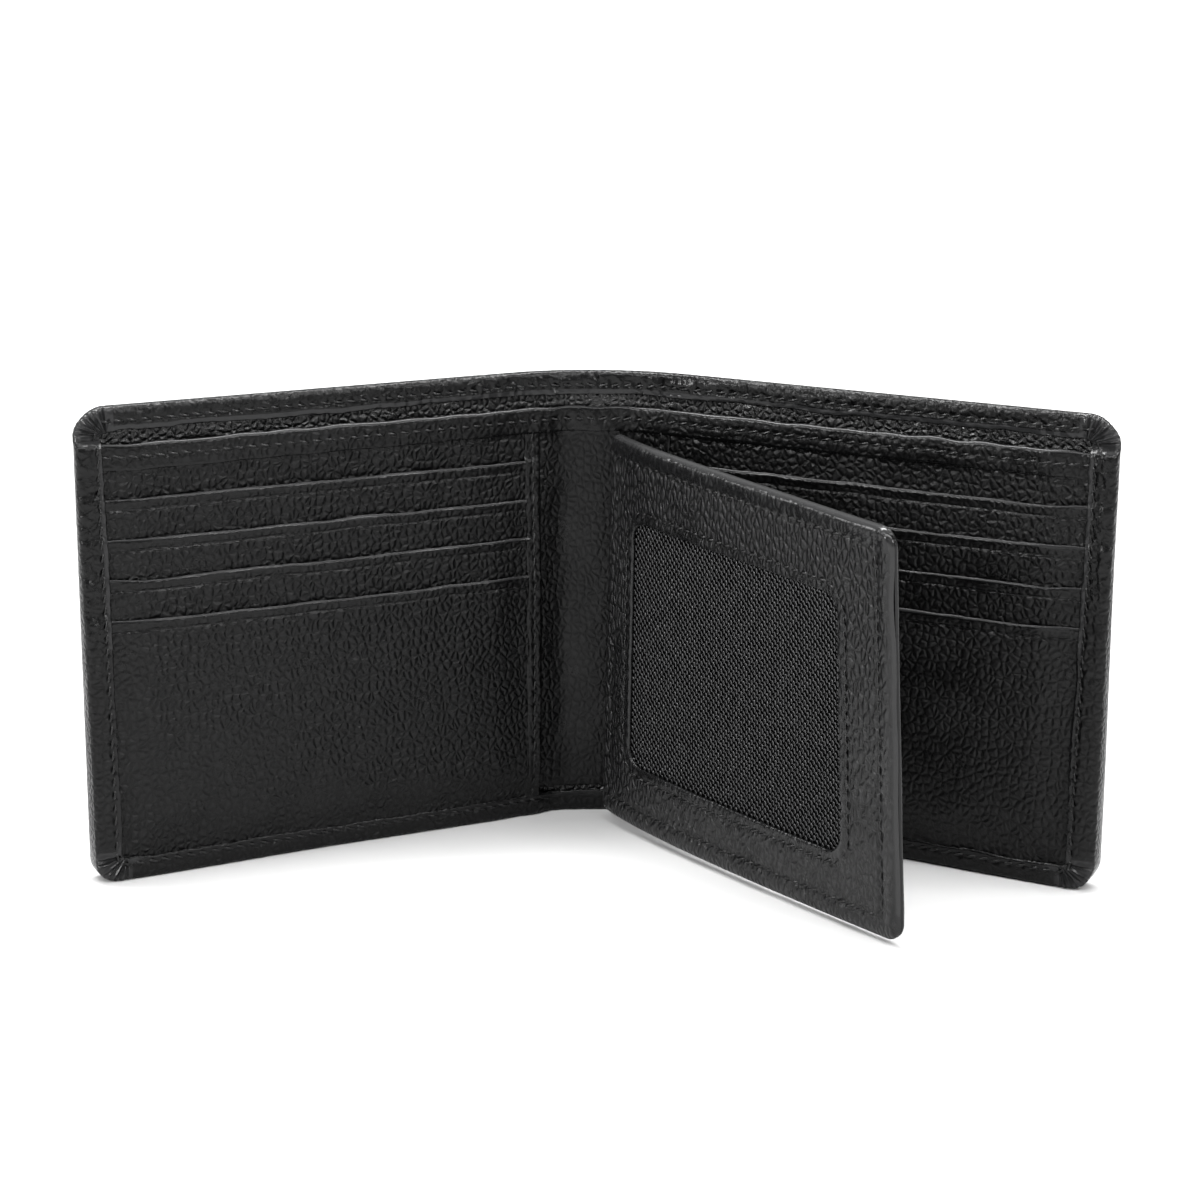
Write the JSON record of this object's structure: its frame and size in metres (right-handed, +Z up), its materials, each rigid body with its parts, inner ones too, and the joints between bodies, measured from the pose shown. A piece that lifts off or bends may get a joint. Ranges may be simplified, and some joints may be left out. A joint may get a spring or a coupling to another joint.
{
  "type": "folding card wallet",
  "caption": "Small leather wallet with card pockets in both halves, a note compartment behind them and a netted window flap hinged at the spine.",
  "frame": {"origin": "middle of the spine cover's lower edge, on the surface the wallet stands on", "axes": "+X along the spine from the left half to the right half, +Y out of the back of the spine, +Z up along the spine"},
  "size_m": [0.1984, 0.0806, 0.094],
  "materials": {
    "black_leather": "black pebbled leather with polished turned edges",
    "card_board": "thin bonded stiffening board",
    "black_cloth": "black woven lining",
    "black_net": "black knitted window net",
    "black_thread": "black bonded sewing thread"
  },
  "bodies": {
    "spine": {"spine_cover": "black_leather", "spine_lining": "black_cloth", "spine_top_hem": "black_leather", "spine_bottom_edge": "black_leather", "spine_inner_panel": "black_leather", "spine_inner_hem": "black_leather", "flap_tape_sewn_side": "black_leather", "spine_top_hem_thread": "black_thread", "spine_inner_hem_thread": "black_thread"},
    "left_half": {"left_cover": "black_leather", "left_cover_board": "card_board", "left_cover_lining": "black_cloth", "left_top_hem": "black_leather", "left_side_edge": "black_leather", "left_bottom_edge": "black_leather", "left_inner_panel": "black_leather", "left_inner_hem": "black_leather", "left_pocket_backing": "black_cloth", "left_card_pocket_1": "black_leather", "left_card_pocket_2": "black_leather", "left_card_pocket_3": "black_leather", "left_front_pocket": "black_leather", "left_pocket_binding": "black_leather", "left_edge_thread": "black_thread", "left_top_hem_thread": "black_thread", "left_inner_hem_thread": "black_thread", "left_binding_thread": "black_thread"},
    "right_half": {"right_cover": "black_leather", "right_cover_board": "card_board", "right_cover_lining": "black_cloth", "right_top_hem": "black_leather", "right_side_edge": "black_leather", "right_bottom_edge": "black_leather", "right_inner_panel": "black_leather", "right_inner_hem": "black_leather", "right_pocket_backing": "black_cloth", "right_card_pocket_1": "black_leather", "right_card_pocket_2": "black_leather", "right_card_pocket_3": "black_leather", "right_front_pocket": "black_leather", "right_pocket_binding": "black_leather", "right_edge_thread": "black_thread", "right_top_hem_thread": "black_thread", "right_inner_hem_thread": "black_thread", "right_binding_thread": "black_thread"},
    "id_flap": {"flap_front": "black_leather", "flap_window_net": "black_net", "flap_pocket_lining": "black_cloth", "flap_back": "black_leather", "flap_tape_flap_side": "black_leather", "flap_edge_thread": "black_thread", "flap_window_thread": "black_thread"}
  },
  "joints": [
    {"name": "left_fold", "type": "hinge", "parent": "spine", "child": "left_half", "pos_m": [-0.01, 0, 0], "axis": [0, 0, 1], "range_deg": [-26, 64]},
    {"name": "right_fold", "type": "hinge", "parent": "spine", "child": "right_half", "pos_m": [0.01, 0, 0], "axis": [0, 0, -1], "range_deg": [-26, 64]},
    {"name": "flap_swing", "type": "hinge", "parent": "spine", "child": "id_flap", "pos_m": [0.002, -0.0046, 0], "axis": [0, 0, -1], "range_deg": [-14.82, 36.48]}
  ],
  "couplings": [
    {"joint": "flap_swing", "follows": "right_fold", "ratio": 0.57}
  ]
}
